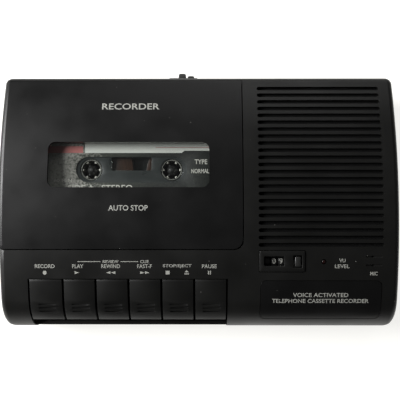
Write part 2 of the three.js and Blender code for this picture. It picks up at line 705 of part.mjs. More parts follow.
// One key: a hollow cap that follows the case's skin, three finger grooves, and a lever back to the shaft.
function pianoKey(x) {
  const side = 1.3;
  const outline = box(x, [keyFront, keysRear - 0.4], [keyBottom, far]);
  const hollow = box([x[0] + side, x[1] - side], [-far, keysRear - 0.4 - side], [0, far]);
  let cap = caseBlock(0.1).intersect(outline).subtract(caseBlock(1.9).intersect(hollow));
  const middle = (x[0] + x[1]) / 2;
  const { count, firstY, step, length, width, depth, aside } = keyGroove;
  const grooveX = [middle + aside - length / 2, middle + aside + length / 2];
  for (let i = 0; i < count; i++) {
    const grooveY = firstY - step * i;
    const groove = box(grooveX, [grooveY - width / 2, grooveY + width / 2], [0, far]);
    cap = cap.subtract(groove.subtract(caseBlock(depth)));
  }
  const { y, z, radius } = keyShaft;
  const eye = 2.3;
  const arm = [[y - 14, 40.2], [y - 17, 39.6], [y - 15.5, 34], [y - 1.5, z - 2], [y + 0.5, z + 2.2], [y - 8, 34]];
  const lever = along(arm.map((p) => new THREE.Vector2(...p)).reverse(), [middle - 1.5, middle + 1.5])
    .add(rod('x', eye, [middle - 1.5, middle + 1.5], [y, z], 18))
    .subtract(rod('x', radius + fit, [middle - 3, middle + 3], [y, z], 16));
  return cap.add(lever);
}

function keyGroup() {
  const group = new THREE.Group();
  keyNames.forEach((name, i) => {
    const left = keysLeft + i * keyPitch + (i === 0 ? 0 : recordKeyExtra);
    const right = keysLeft + (i + 1) * keyPitch + recordKeyExtra;
    group.add(part(`${name}_key`, pianoKey([left + keyGap / 2, right - keyGap / 2]), 'key'));
  });
  const shaft = rod('x', keyShaft.radius, [-90.9, 19.2], [keyShaft.y, keyShaft.z], 16);
  group.add(part('key_shaft', shaft, 'steel'));
  return group;
}

// ---------------------------------------------------------------- counter and small controls

function counterFrame() {
  const x = [counter.x - 2.1, counter.x + 2 * counter.pitch + counter.width + 2.1];
  const y = [counter.y - 6.8, counter.y + 6.8];
  const block = box(x, y, [27, 39.8]);
  const inside = box([x[0] + 1.5, x[1] - 1.5], [y[0] - 1, y[1] + 1], [28.1, 50]);
  return block.subtract(inside).subtract(rod('x', 1.2, [x[0] - 1, x[1] + 1], [counter.y, counter.z], 14));
}

// One number wheel: a drum with a ratchet flange on its left side, turning on the X axis.
function counterWheel() {
  const loop = [[1.2, 0], [5.6, 0], [5.6, 0.5], [counter.radius, 0.5], [counter.radius, counter.width],
    [1.2, counter.width], [1.2, 0]];
  const points = loop.map(([radius, x]) => new THREE.Vector2(radius, x));
  const lathe = new THREE.LatheGeometry(points, 20).rotateZ(-Math.PI / 2);
  return solid(lathe);
}

function counterBezel() {
  const outline = roundedPrism(bezelOutline, 0, 0.6);
  const bezel = skinPiece(outline, -0.5, 1.3);
  const view = box([33.2, 43.4], [-35.95, -31.05], [30, far]);
  const button = box([48, 52.5], [-36.85, -30.55], [30, far]);
  return bezel.subtract(view).subtract(button);
}

function resetButton() {
  const x = [48.9, 51.9];
  const cap = box(x, [-36.2, -31.2], [36, 44.4]);
  const flange = box([x[0] - 0.8, x[1] + 0.8], [-37.6, -29.8], [36, 37.2]);
  return cap.add(flange);
}

function nameplate() {
  return skinPiece(roundedPrism(nameplateOutline, 0, 2.3), 0, nameplateDepth);
}

function levelLamp() {
  const lens = 1.05;
  const top = skinZ(ledAt.y) - 0.2;
  return turned([[0, 34], [2, 34], [2, 35], [1.5, 35.2], [1.5, top - wall - 0.6], [lens, top - wall - 0.4],
    [lens, top - 0.4], [lens * 0.6, top], [0, top]], 12);
}

function microphone() {
  return turned([[0, 35.4], [4.8, 35.4], [4.8, 40.6], [4.2, 41], [0, 41]], 24);
}

// Frame, basket, magnet and paper cone as one turned body, open to the front.
function speaker() {
  const { radius } = speakerAt;
  const magnet = 14;
  return turned([[0, 23], [magnet, 23], [magnet, 29.5], [radius - 3, 35], [radius, 35], [radius, 36.8],
    [radius - 3, 36.8], [radius - 4.5, 35.8], [8, 31.2], [4, 33], [0, 33.6]], 30);
}

function volumeWheelShape() {
  const { radius, thickness } = volumeWheel;
  const teeth = 24;
  const points = [];
  for (let i = 0; i < 2 * teeth; i++) {
    const reach = i % 2 === 0 ? radius : radius - 0.5;
    const angle = i * Math.PI / teeth;
    points.push(new THREE.Vector2(reach * Math.cos(angle), reach * Math.sin(angle)));
  }
  return solid(extrude(points, thickness)).subtract(rod('z', 1.6, [-1, thickness + 1], [0, 0], 14));
}

function slideSwitchBody() {
  const { x, z } = rearSwitch;
  const shellBox = box([x - 7.5, x + 7.5], [rearY - wall - 5.6, rearY - wall - fit], [z - 3.4, z + 3.4]);
  const slot = box([x - 6, x + 6], [rearY - wall - 3.4, far], [z - 1.9, z + 1.9]);
  return shellBox.subtract(slot);
}

// The sliding cap: a low base with one tall and one lower finger ridge.
function slideSwitchCap() {
  const { x, z, width, height } = rearSwitch;
  const y = rearY + fit;
  const z2 = [z - height / 2, z + height / 2];
  const base = plate([x - width / 2, x + width / 2], [y, y + 1.8], z2, [0, 0, 0.8, 0.8], 2);
  const tall = plate([-11.2, -7.2], [y + 1, y + 4.2], z2, [0, 0, 1, 1], 3);
  const low = plate([-6.3, -2.7], [y + 1, y + 2.9], z2, [0, 0, 0.8, 0.8], 2);
  const stem = box([x - 3, x + 1], [rearY - wall - 3, y + 1], [z - 1.5, z + 1.5]);
  return base.add(tall).add(low).add(stem);
}

// A modular telephone socket: a box with a stepped mouth to the rear.
function lineJack() {
  const { width, height, depth, z } = lineJacks;
  const rear = rearY - wall - fit;
  const body = box([-width / 2, width / 2], [rear - depth, rear], [z - height / 2, z + height / 2]);
  const mouth = box([-4.9, 4.9], [rear - depth + 2, rear + 1], [z - 3.4, z + 3.4]);
  const key = box([-2, 2], [rear - depth + 4, rear + 1], [z - 4.8, z]);
  return body.subtract(mouth).subtract(key);
}

// A round socket facing the right side; a plug's pin stands inside the wide one.
function sideJack(size, bore, pin) {
  const right = halfWidth - wall - fit;
  const body = box([right - 11, right], [-size / 2, size / 2], [-size / 2, size / 2]);
  const socket = body.subtract(rod('x', bore, [right - 9, right + 1], [0, 0], 18));
  return pin ? socket.add(rod('x', 0.9, [right - 9.5, right - 1], [0, 0], 12)) : socket;
}

function circuitBoard() {
  const board = box([56, 97], [17.5, 59.6], [5.4, 7]);
  return board.subtract(rod('z', 4.4, [0, far], [95.4, 56.6], 16)).subtract(rod('z', 3, [0, far], [84, 50], 16));
}

function batteryContact(side) {
  const x = side < 0 ? [bay.left + fit, bay.left + fit + 0.6] : [bay.right - fit - 0.6, bay.right - fit];
  let strip = box(x, [bay.front + 2, bay.rear - 2], [6.5, 17.5]);
  const inward = side < 0 ? [x[0], x[1] + 0.8] : [x[0] - 0.8, x[1]];
  for (let i = 0; i < 4; i++) strip = strip.add(rod('x', 2.4, inward, [bay.front + 7.8 + 14.8 * i, 12], 8));
  return strip;
}

function controlGroup() {
  const group = new THREE.Group();
  group.add(part('counter_frame', counterFrame(), 'dark'));
  ['hundreds', 'tens', 'units'].forEach((place, i) => {
    const x = counter.x + counter.pitch * i;
    group.add(part(`counter_wheel_${place}`, counterWheel(), 'dark', [x, counter.y, counter.z]));
  });
  const shaft = rod('x', 0.9, [counter.x - 1.9, counter.x + 2 * counter.pitch + counter.width + 1.9],
    [counter.y, counter.z], 12);
  group.add(part('counter_shaft', shaft, 'steel'));
  group.add(part('counter_bezel', counterBezel(), 'black'));
  group.add(part('counter_reset_button', resetButton(), 'black'));
  group.add(part('nameplate', nameplate(), 'black'));
  group.add(part('level_led', levelLamp(), 'red', [ledAt.x, ledAt.y, 0]));
  group.add(part('microphone', microphone(), 'steel', [micAt.x, micAt.y, 0]));
  group.add(part('speaker', speaker(), 'dark', [speakerAt.x, speakerAt.y, 0]));
  group.add(part('volume_wheel', volumeWheelShape(), 'black', [volumeWheel.x, volumeWheel.y, volumeWheel.z]));
  return group;
}

function connectorGroup() {
  const group = new THREE.Group();
  group.add(part('slide_switch_body', slideSwitchBody(), 'steel'));
  group.add(part('slide_switch_cap', slideSwitchCap(), 'dark'));
  group.add(part('telephone_line_jack', lineJack(), 'dark', [lineJacks.left, 0, 0]));
  group.add(part('telephone_set_jack', lineJack(), 'dark', [lineJacks.right, 0, 0]));
  const { dc, ear, mic } = sideJacks;
  group.add(part('dc_jack', sideJack(dc.size, 3, true), 'dark', [0, dc.y, dc.z]));
  group.add(part('earphone_jack', sideJack(ear.size, 1.8, false), 'dark', [0, ear.y, ear.z]));
  group.add(part('microphone_jack', sideJack(mic.size, 1.8, false), 'dark', [0, mic.y, mic.z]));
  group.add(part('circuit_board', circuitBoard(), 'board'));
  group.add(part('battery_contact_left', batteryContact(-1), 'steel'));
  group.add(part('battery_contact_right', batteryContact(1), 'steel'));
  return group;
}

const recorder = new THREE.Group();
recorder.add(caseGroup(), doorGroup(), cassetteGroup(), driveGroup(), keyGroup(), controlGroup(), connectorGroup());

export default recorder;
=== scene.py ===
import bpy
import bmesh
import math
from mathutils import Matrix, Vector
from mathutils.bvhtree import BVHTree


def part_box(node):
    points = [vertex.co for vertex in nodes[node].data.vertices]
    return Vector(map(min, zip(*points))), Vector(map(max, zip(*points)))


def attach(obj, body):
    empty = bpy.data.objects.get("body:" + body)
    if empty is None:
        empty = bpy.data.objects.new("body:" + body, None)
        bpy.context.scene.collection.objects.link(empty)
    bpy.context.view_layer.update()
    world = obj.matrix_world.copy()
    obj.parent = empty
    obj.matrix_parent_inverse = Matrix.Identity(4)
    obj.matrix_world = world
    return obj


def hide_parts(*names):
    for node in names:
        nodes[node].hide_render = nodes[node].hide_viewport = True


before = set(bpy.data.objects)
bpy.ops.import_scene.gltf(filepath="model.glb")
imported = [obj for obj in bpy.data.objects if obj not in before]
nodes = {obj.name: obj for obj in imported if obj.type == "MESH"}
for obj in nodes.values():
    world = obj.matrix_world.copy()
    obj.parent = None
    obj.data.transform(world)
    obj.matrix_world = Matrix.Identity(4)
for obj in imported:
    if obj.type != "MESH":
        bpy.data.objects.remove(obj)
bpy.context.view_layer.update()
mm = 0.001
print("frame loaded:", len(nodes), "CAD pieces")


# ---- camera

cameraSet = {"lens": 50.35, "sensor": 36, "distance": 284.8 * mm, "tilt": 3.10, "turn": 0.2,
             "shiftX": 0.0025}
caseForm = {"apexY": -2.35 * mm, "topZ": 46 * mm, "domeRadius": 241.5 * mm, "frontRadius": 20 * mm,
            "rearRadius": 4 * mm, "frontY": -69.4 * mm, "rearY": 63.5 * mm}


def makeCamera():
    data = bpy.data.cameras.new("camera")
    data.lens = cameraSet["lens"]
    data.sensor_width = cameraSet["sensor"]
    data.shift_x = cameraSet["shiftX"]
    camera = bpy.data.objects.new("camera", data)
    bpy.context.scene.collection.objects.link(camera)
    turned = Matrix.Identity(4)
    for angle, axis in ((cameraSet["tilt"], "X"), (cameraSet["turn"], "Y")):
        turned = turned @ Matrix.Rotation(math.radians(angle), 4, axis)
    aim = Matrix.Translation((0, caseForm["apexY"], caseForm["topZ"]))  # the dome's highest line
    camera.matrix_world = aim @ turned @ Matrix.Translation((0, 0, cameraSet["distance"]))
    bpy.context.scene.camera = camera


makeCamera()


# ---- light and floor

studio = {"keyPower": 18.0, "keyAt": (-0.68, 0.18, 0.50), "keySize": 0.5,
          "fillPower": 2.0, "fillAt": (0.12, 0.75, 0.55), "fillSize": 0.6,
          "world": 0.07, "floorHex": "#f3f2ef", "paperHex": "#9b9b98", "floorGlow": 0.9}


def areaLight(name, place, size, power):
    data = bpy.data.lights.new(name, "AREA")
    data.shape = "DISK"
    data.size = size
    data.energy = power
    light = bpy.data.objects.new(name, data)
    light.location = place
    light.rotation_mode = "QUATERNION"
    light.rotation_quaternion = Vector(place).to_track_quat("Z", "Y")
    bpy.context.scene.collection.objects.link(light)


# sRGB hex to the linear colour that shaders want
def linear(hexColour):
    channels = [int(hexColour[i:i + 2], 16) / 255 for i in (1, 3, 5)]
    return tuple(c / 12.92 if c <= 0.04045 else ((c + 0.055) / 1.055) ** 2.4 for c in channels) + (1,)


# adds one node; inputs holds values or the sockets they come from
def addNode(tree, kind, inputs=None, **settings):
    node = tree.nodes.new("ShaderNode" + kind)
    for key, value in settings.items():
        setattr(node, key, value)
    for key, value in (inputs or {}).items():
        if isinstance(value, bpy.types.NodeSocket):
            tree.links.new(value, node.inputs[key])
        else:
            node.inputs[key].default_value = value
    return node


def newMaterial(name):
    material = bpy.data.materials.new(name)
    material.use_nodes = True
    tree = material.node_tree
    tree.nodes.clear()
    coords = addNode(tree, "TexCoord").outputs["Object"]
    return material, tree, coords


def finishMaterial(tree, shader):
    addNode(tree, "OutputMaterial", {"Surface": shader})


def colourSteps(tree, value, steps):
    ramp = addNode(tree, "ValToRGB", {"Fac": value})
    elements = ramp.color_ramp.elements
    while len(elements) < len(steps):
        elements.new(0.5)
    for element, (at, colour) in zip(elements, steps):
        element.position = at
        element.color = colour if isinstance(colour, tuple) else (colour, colour, colour, 1)
    return ramp.outputs["Color"]


def makeStudio():
    areaLight("key light", studio["keyAt"], studio["keySize"], studio["keyPower"])
    areaLight("fill light", studio["fillAt"], studio["fillSize"], studio["fillPower"])
    world = bpy.data.worlds.new("studio")
    world.use_nodes = True
    background = world.node_tree.nodes["Background"]
    background.inputs["Color"].default_value = (1, 1, 1, 1)
    background.inputs["Strength"].default_value = studio["world"]
    bpy.context.scene.world = world
    bpy.context.scene.view_settings.view_transform = "Standard"
    mesh = bpy.data.meshes.new("floor")
    bm = bmesh.new()
    bmesh.ops.create_grid(bm, x_segments=1, y_segments=1, size=3)
    bm.to_mesh(mesh)
    bm.free()
    floor = bpy.data.objects.new("floor", mesh)
    bpy.context.scene.collection.objects.link(floor)
    material, tree, coords = newMaterial("matt paper sweep")
    shader = addNode(tree, "BsdfPrincipled", {"Base Color": linear(studio["paperHex"]), "Roughness": 0.9,
                                              "Emission Color": linear(studio["floorHex"]),
                                              "Emission Strength": studio["floorGlow"]})
    finishMaterial(tree, shader.outputs[0])
    mesh.materials.append(material)


makeStudio()
print("camera, light and floor are set")


# ---- materials

# Black ABS from a spark-eroded mould: an even, slightly glittering grain that breaks the gloss,
# a few pale dust specks, and a gloss that varies softly from place to place.
def texturedAbs(name, hexColour, roughness, grainMm=0.35, grainDepth=0.02, dust=0.5, shine=0.28):
    material, tree, coords = newMaterial(name)
    # real grain is about 0.1 mm; drawn coarser so that it shows
    grain = addNode(tree, "TexNoise", {"Vector": coords, "Scale": 1 / (grainMm * mm), "Detail": 2.0,
                                       "Roughness": 0.6})
    cloud = addNode(tree, "TexNoise", {"Vector": coords, "Scale": 1 / (22 * mm), "Detail": 3.0})
    speck = addNode(tree, "TexVoronoi", {"Vector": coords, "Scale": 1 / (6 * mm)})
    sparse = addNode(tree, "TexNoise", {"Vector": coords, "Scale": 1 / (9 * mm), "Detail": 1.0})
    dot = colourSteps(tree, speck.outputs["Distance"], [(0.0, 1.0), (0.035, 0.9), (0.05, 0.0)])
    thin = colourSteps(tree, sparse.outputs["Fac"], [(0.56, 0.0), (0.62, dust)])
    dusty = addNode(tree, "Math", {0: dot, 1: thin}, operation="MULTIPLY")
    base = Vector(linear(hexColour)[:3])
    tone = colourSteps(tree, cloud.outputs["Fac"],
                       [(0.3, tuple(base * 0.88) + (1,)), (0.7, tuple(base * 1.12) + (1,))])
    colour = addNode(tree, "Mix", {0: dusty.outputs[0], 6: tone, 7: linear("#8a8984")}, data_type="RGBA")
    gloss = addNode(tree, "MapRange", {"Value": cloud.outputs["Fac"], 1: 0.3, 2: 0.7, 3: roughness - 0.05,
                                       4: roughness + 0.06})
    bump = addNode(tree, "Bump", {"Height": grain.outputs["Fac"], "Strength": 0.6,
                                  "Distance": grainDepth * mm})
    shader = addNode(tree, "BsdfPrincipled", {"Base Color": colour.outputs[2], "Roughness": gloss.outputs[0],
                                              "Normal": bump.outputs[0], "IOR": 1.53,
                                              "Specular IOR Level": shine})
    finishMaterial(tree, shader.outputs[0])
    return material


# Plain moulded plastic inside the case: smoother, with faint flow marks.
def mouldedPlastic(name, hexColour, roughness, flowMm=5.0):
    material, tree, coords = newMaterial(name)
    flow = addNode(tree, "TexNoise", {"Vector": coords, "Scale": 1 / (flowMm * mm), "Detail": 4.0,
                                      "Distortion": 0.6})
    base = Vector(linear(hexColour)[:3])
    tone = colourSteps(tree, flow.outputs["Fac"],
                       [(0.3, tuple(base * 0.85) + (1,)), (0.7, tuple(base * 1.15) + (1,))])
    gloss = addNode(tree, "MapRange", {"Value": flow.outputs["Fac"], 3: roughness - 0.08,
                                       4: roughness + 0.08})
    bump = addNode(tree, "Bump", {"Height": flow.outputs["Fac"], "Strength": 0.2, "Distance": 0.03 * mm})
    shader = addNode(tree, "BsdfPrincipled", {"Base Color": tone, "Roughness": gloss.outputs[0],
                                              "Normal": bump.outputs[0], "IOR": 1.5})
    finishMaterial(tree, shader.outputs[0])
    return material


# Zinc-plated steel sheet: a cool grey metal with fine rolling lines and cloudy plating.
def platedSteel(name, hexColour="#b4b5b3", roughness=0.32, lineMm=0.5, along="X"):
    material, tree, coords = newMaterial(name)
    stretch = {"X": (0.04, 1, 1), "Y": (1, 0.04, 1), "Z": (1, 1, 0.04)}[along]
    placed = addNode(tree, "Mapping", {"Vector": coords, "Scale": stretch})
    lines = addNode(tree, "TexNoise", {"Vector": placed.outputs[0], "Scale": 1 / (lineMm * mm),
                                       "Detail": 2.0})
    cloud = addNode(tree, "TexNoise", {"Vector": coords, "Scale": 1 / (7 * mm), "Detail": 3.0})
    base = Vector(linear(hexColour)[:3])
    tone = colourSteps(tree, cloud.outputs["Fac"],
                       [(0.3, tuple(base * 0.8) + (1,)), (0.7, tuple(base) + (1,))])
    gloss = addNode(tree, "MapRange", {"Value": lines.outputs["Fac"], 3: roughness - 0.1,
                                       4: roughness + 0.14})
    bump = addNode(tree, "Bump", {"Height": lines.outputs["Fac"], "Strength": 0.25, "Distance": 0.01 * mm})
    shader = addNode(tree, "BsdfPrincipled", {"Base Color": tone, "Metallic": 1.0,
                                              "Roughness": gloss.outputs[0],
                                              "Normal": bump.outputs[0]})
    finishMaterial(tree, shader.outputs[0])
    return material


# Moulded rubber: matt black with a chalky bloom.
def mouldedRubber(name, hexColour="#191918"):
    material, tree, coords = newMaterial(name)
    bloom = addNode(tree, "TexNoise", {"Vector": coords, "Scale": 1 / (1.8 * mm), "Detail": 5.0})
    base = Vector(linear(hexColour)[:3])
    tone = colourSteps(tree, bloom.outputs["Fac"],
                       [(0.35, tuple(base) + (1,)), (0.75, tuple(base * 1.9) + (1,))])
    bump = addNode(tree, "Bump", {"Height": bloom.outputs["Fac"], "Strength": 0.3, "Distance": 0.02 * mm})
    shader = addNode(tree, "BsdfPrincipled", {"Base Color": tone, "Roughness": 0.82,
                                              "Normal": bump.outputs[0]})
    finishMaterial(tree, shader.outputs[0])
    return material


# Screen-printed ink: flat pale grey, slightly broken where the grain shows through.
def screenInk(name, hexColour, wear=0.35):
    material, tree, coords = newMaterial(name)
    grain = addNode(tree, "TexNoise", {"Vector": coords, "Scale": 1 / (0.3 * mm), "Detail": 3.0})
    base = Vector(linear(hexColour)[:3])
    tone = colourSteps(tree, grain.outputs["Fac"],
                       [(0.3, tuple(base * (1 - wear)) + (1,)), (0.55, tuple(base) + (1,))])
    shader = addNode(tree, "BsdfPrincipled", {"Base Color": tone, "Roughness": 0.6})
    finishMaterial(tree, shader.outputs[0])
    return material


# Clear acrylic pane: nearly all of the light goes through, with a weak sharp reflection and fine scuffs.
def clearAcrylic(name):
    material, tree, coords = newMaterial(name)
    scuffs = addNode(tree, "TexNoise", {"Vector": coords, "Scale": 1 / (3.5 * mm), "Detail": 6.0,
                                        "Distortion": 1.2})
    haze = addNode(tree, "MapRange", {"Value": scuffs.outputs["Fac"], 1: 0.5, 2: 0.8, 3: 0.03, 4: 0.22})
    clear = addNode(tree, "BsdfTransparent", {"Color": (0.93, 0.94, 0.94, 1)})
    shine = addNode(tree, "BsdfAnisotropic", {"Color": (1, 1, 1, 1), "Roughness": haze.outputs[0]})
    tilt = addNode(tree, "LayerWeight", {"Blend": 0.5}).outputs["Facing"]
    rise = addNode(tree, "Math", {0: tilt, 1: 5.0}, operation="POWER")
    share = addNode(tree, "MapRange", {"Value": rise.outputs[0], 3: 0.04, 4: 1.0})
    mixed = addNode(tree, "MixShader", {"Fac": share.outputs[0], 1: clear.outputs[0], 2: shine.outputs[0]})
    finishMaterial(tree, mixed.outputs[0])
    return material


looks = {
    "caseAbs": texturedAbs("spark-eroded ABS, case", "#0c0c0b", 0.42, shine=0.24),
    "doorAbs": texturedAbs("spark-eroded ABS, door", "#090909", 0.38, dust=0.35, shine=0.2),
    "keyAbs": texturedAbs("fine-textured ABS, keys", "#0b0b0a", 0.42, grainMm=0.3, grainDepth=0.012,
                          dust=0.25),
    "innerAbs": mouldedPlastic("moulded ABS, inside", "#121212", 0.5),
    "knobAbs": mouldedPlastic("moulded ABS, knobs", "#161615", 0.42, flowMm=2.0),
    "steel": platedSteel("zinc-plated steel sheet"),
    "turnedSteel": platedSteel("turned steel", "#c2c1bd", 0.22, lineMm=0.25, along="X"),
    "darkSteel": platedSteel("blackened steel", "#4a4a4a", 0.4),
    "brass": platedSteel("turned brass", "#c9a45a", 0.28, lineMm=0.3),
    "rubber": mouldedRubber("moulded rubber"),
    "ink": screenInk("screen ink, pale grey", "#8c8c86"),
    "pane": clearAcrylic("clear acrylic pane"),
}


# ---- shared modelling helpers

# Analytic normal of the case's skin at a point on it, or None where the point is off the skin.
def skinNormal(point):
    form = caseForm
    domeZ = form["topZ"] - form["domeRadius"]
    for y, radius in ((form["frontY"] + form["frontRadius"], form["frontRadius"]),
                      (form["rearY"] - form["rearRadius"], form["rearRadius"])):
        reach = form["domeRadius"] - radius
        z = domeZ + math.sqrt(reach ** 2 - (y - form["apexY"]) ** 2)
        edge = Vector((0, y - form["apexY"], z - domeZ))  # the line where the arc meets the dome
        outward = Vector((0, point.y - form["apexY"], point.z - domeZ))
        beyond = edge.y * outward.z - edge.z * outward.y
        if beyond * edge.y < 0:
            away = Vector((0, point.y - y, point.z - z))
            return away.normalized() if abs(away.length - radius) < 0.2 * mm else None
    return outward.normalized() if abs(outward.length - form["domeRadius"]) < 0.15 * mm else None


def linkPiece(name, mesh, body, material=None):
    piece = bpy.data.objects.new(name, mesh)
    bpy.context.scene.collection.objects.link(piece)
    if material:
        mesh.materials.clear()
        mesh.materials.append(material)
    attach(piece, body)
    return piece


# merging distance in mm, largest bend of a flat face, least bend of an edge, bevel steps, and how near to the
# dome a face has to point to take its normals
finishSet = {"mergeMm": 0.002, "flatAngle": 0.4, "sharpAngle": 35, "bevelSteps": 2, "skinMatch": 0.985}


def meshFrom(bm, name):
    mesh = bpy.data.meshes.new(name)
    bm.to_mesh(mesh)
    bm.free()
    mesh.polygons.foreach_set("use_smooth", [True] * len(mesh.polygons))
    mesh.set_sharp_from_angle(angle=math.radians(finishSet["sharpAngle"]))
    return mesh


# The corners that lie on the domed skin get the dome's own normals, so its facets don't show.
def easeSkin(mesh):
    normals = [Vector(n.vector) for n in mesh.corner_normals]
    for polygon in mesh.polygons:
        for loop in polygon.loop_indices:
            true = skinNormal(mesh.vertices[mesh.loops[loop].vertex_index].co)
            if true and true.dot(polygon.normal) > finishSet["skinMatch"]:
                normals[loop] = true
    mesh.normals_split_custom_set(normals)


def sharpEdges(bm):
    limit = math.radians(finishSet["sharpAngle"])
    return [edge for edge in bm.edges if edge.is_manifold and edge.calc_face_angle() > limit]


# A merged copy of a CAD node with its flat faces joined and its edges broken.
def finishedCopy(nodeName, body, material, bevelMm, onSkin=False):
    bm = bmesh.new()
    bm.from_mesh(nodes[nodeName].data)
    bmesh.ops.remove_doubles(bm, verts=bm.verts, dist=finishSet["mergeMm"] * mm)
    bmesh.ops.dissolve_limit(bm, angle_limit=math.radians(finishSet["flatAngle"]), verts=bm.verts,
                             edges=bm.edges)
    bmesh.ops.bevel(bm, geom=sharpEdges(bm), offset=bevelMm * mm, offset_type="OFFSET",
                    affect="EDGES", segments=finishSet["bevelSteps"], profile=0.5, material=-1,
                    clamp_overlap=True)
    bmesh.ops.triangulate(bm, faces=[f for f in bm.faces if len(f.verts) > 4])
    mesh = meshFrom(bm, nodeName + "_finished")
    if onSkin:
        easeSkin(mesh)
    piece = linkPiece(nodeName + "_finished", mesh, body, material)
    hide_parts(nodeName)
    return piece


def paint(nodeName, material):
    data = nodes[nodeName].data
    data.materials.clear()
    data.materials.append(material)


# ---- case, door, keys and controls

# node: body, look, edge radius in mm, on the domed skin or not
finishedNodes = {
    "top_housing": ("case", "caseAbs", 0.22, True),
    "bottom_housing": ("case", "caseAbs", 0.3, False),
    "cassette_door": ("door", "doorAbs", 0.3, True),
    "counter_bezel": ("case", "caseAbs", 0.2, True),
    "nameplate": ("case", "doorAbs", 0.3, True),
    "battery_door": ("battery_lid", "caseAbs", 0.25, False),
    "volume_wheel": ("volume", "knobAbs", 0.15, False),
    "slide_switch_cap": ("selector", "knobAbs", 0.35, False),
    "counter_reset_button": ("reset", "knobAbs", 0.3, False),
    "slide_switch_body": ("case", "innerAbs", 0.15, False),
    "telephone_line_jack": ("case", "innerAbs", 0.2, False),
    "telephone_set_jack": ("case", "innerAbs", 0.2, False),
    "dc_jack": ("case", "innerAbs", 0.15, False),
    "earphone_jack": ("case", "innerAbs", 0.15, False),
    "microphone_jack": ("case", "innerAbs", 0.15, False),
    "record_key": ("record", "keyAbs", 0.3, False),
    "play_key": ("play", "keyAbs", 0.3, False),
    "rewind_key": ("rewind", "keyAbs", 0.3, False),
    "fast_forward_key": ("fast_forward", "keyAbs", 0.3, False),
    "stop_eject_key": ("stop_eject", "keyAbs", 0.3, False),
    "pause_key": ("pause", "keyAbs", 0.3, False),
    "cassette_well": ("case", "innerAbs", 0.3, False),
    "door_guide_left": ("door", "innerAbs", 0.2, False),
    "door_guide_right": ("door", "innerAbs", 0.2, False),
    "counter_frame": ("case", "innerAbs", 0.15, False),
}
for nodeName, (body, look, edgeMm, onSkin) in finishedNodes.items():
    finishedCopy(nodeName, body, looks[look], edgeMm, onSkin=onSkin)
print("case, door, keys and controls are finished")

paint("door_window", looks["pane"])


# ---- printed words and signs

surfaces = {}


# tree of the CAD surface that a print lies on
def surfaceOf(nodeNames):
    if nodeNames not in surfaces:
        bm = bmesh.new()
        for nodeName in nodeNames:
            bm.from_mesh(nodes[nodeName].data)
        surfaces[nodeNames] = (BVHTree.FromBMesh(bm), bm)
    return surfaces[nodeNames][0]


# ink thickness, its height over the surface, and the height that the surface is sought from, in mm
printSet = {"thick": 0.02, "lift": 0.02, "seekFrom": 80}


# lays a flat closed print down on a surface, along Z
def layDown(mesh, nodeNames):
    tree = surfaceOf(nodeNames)
    for vertex in mesh.vertices:
        hit = tree.ray_cast(Vector((vertex.co.x, vertex.co.y, printSet["seekFrom"] * mm)),
                            Vector((0, 0, -1)))[0]
        if hit:
            vertex.co.z += hit.z + printSet["lift"] * mm
    return mesh


# words as a thin closed mesh, scaled to a cap height and a width
def wordMesh(words, centre, capMm, widthMm, thick=printSet["thick"]):
    curve = bpy.data.curves.new("words", "FONT")
    curve.body = words
    curve.align_x = "CENTER"
    curve.size = 1
    curve.extrude = 0.5
    curve.offset = 0.012
    curve.resolution_u = 3
    text = bpy.data.objects.new("words", curve)
    bpy.context.scene.collection.objects.link(text)
    bpy.context.view_layer.update()
    mesh = bpy.data.meshes.new_from_object(text.evaluated_get(bpy.context.evaluated_depsgraph_get()))
    bpy.data.objects.remove(text)
    xs = [v.co.x for v in mesh.vertices]
    ys = [v.co.y for v in mesh.vertices]
    high = capMm * mm / (max(ys) - min(ys))
    wide = widthMm * mm / (max(xs) - min(xs))
    middleX, middleY = (max(xs) + min(xs)) / 2, (max(ys) + min(ys)) / 2
    for vertex in mesh.vertices:
        x, y, z = vertex.co
        vertex.co = ((x - middleX) * wide + centre[0] * mm, (y - middleY) * high + centre[1] * mm,
                     (z + 0.5) * thick * mm)
    return mesh


# a flat closed shape from its corner points
def signMesh(outlines, thick=printSet["thick"]):
    bm = bmesh.new()
    for outline in outlines:
        face = bm.faces.new([bm.verts.new((x * mm, y * mm, thick * mm)) for x, y in outline])
        if face.normal.z < 0:
            face.normal_flip()
        base = bmesh.ops.extrude_face_region(bm, geom=[face])
        for item in base["geom"]:
            if isinstance(item, bmesh.types.BMVert):
                item.co.z -= thick * mm
    bmesh.ops.recalc_face_normals(bm, faces=bm.faces)
    mesh = bpy.data.meshes.new("sign")
    bm.to_mesh(mesh)
    bm.free()
    return mesh


def bar(x, y, wide, high):
    return [(x - wide / 2, y - high / 2), (x + wide / 2, y - high / 2), (x + wide / 2, y + high / 2),
            (x - wide / 2, y + high / 2)]


def disc(x, y, radius, sides=20):
    return [(x + radius * math.cos(2 * math.pi * i / sides), y + radius * math.sin(2 * math.pi * i / sides))
            for i in range(sides)]


def pointer(x, y, wide, high, way):
    tip = (x + way * wide / 2, y)
    return [(x - way * wide / 2, y - high / 2), tip, (x - way * wide / 2, y + high / 2)][::way]


onTop, onDoor, onPlate = ("top_housing",), ("cassette_door",), ("nameplate",)
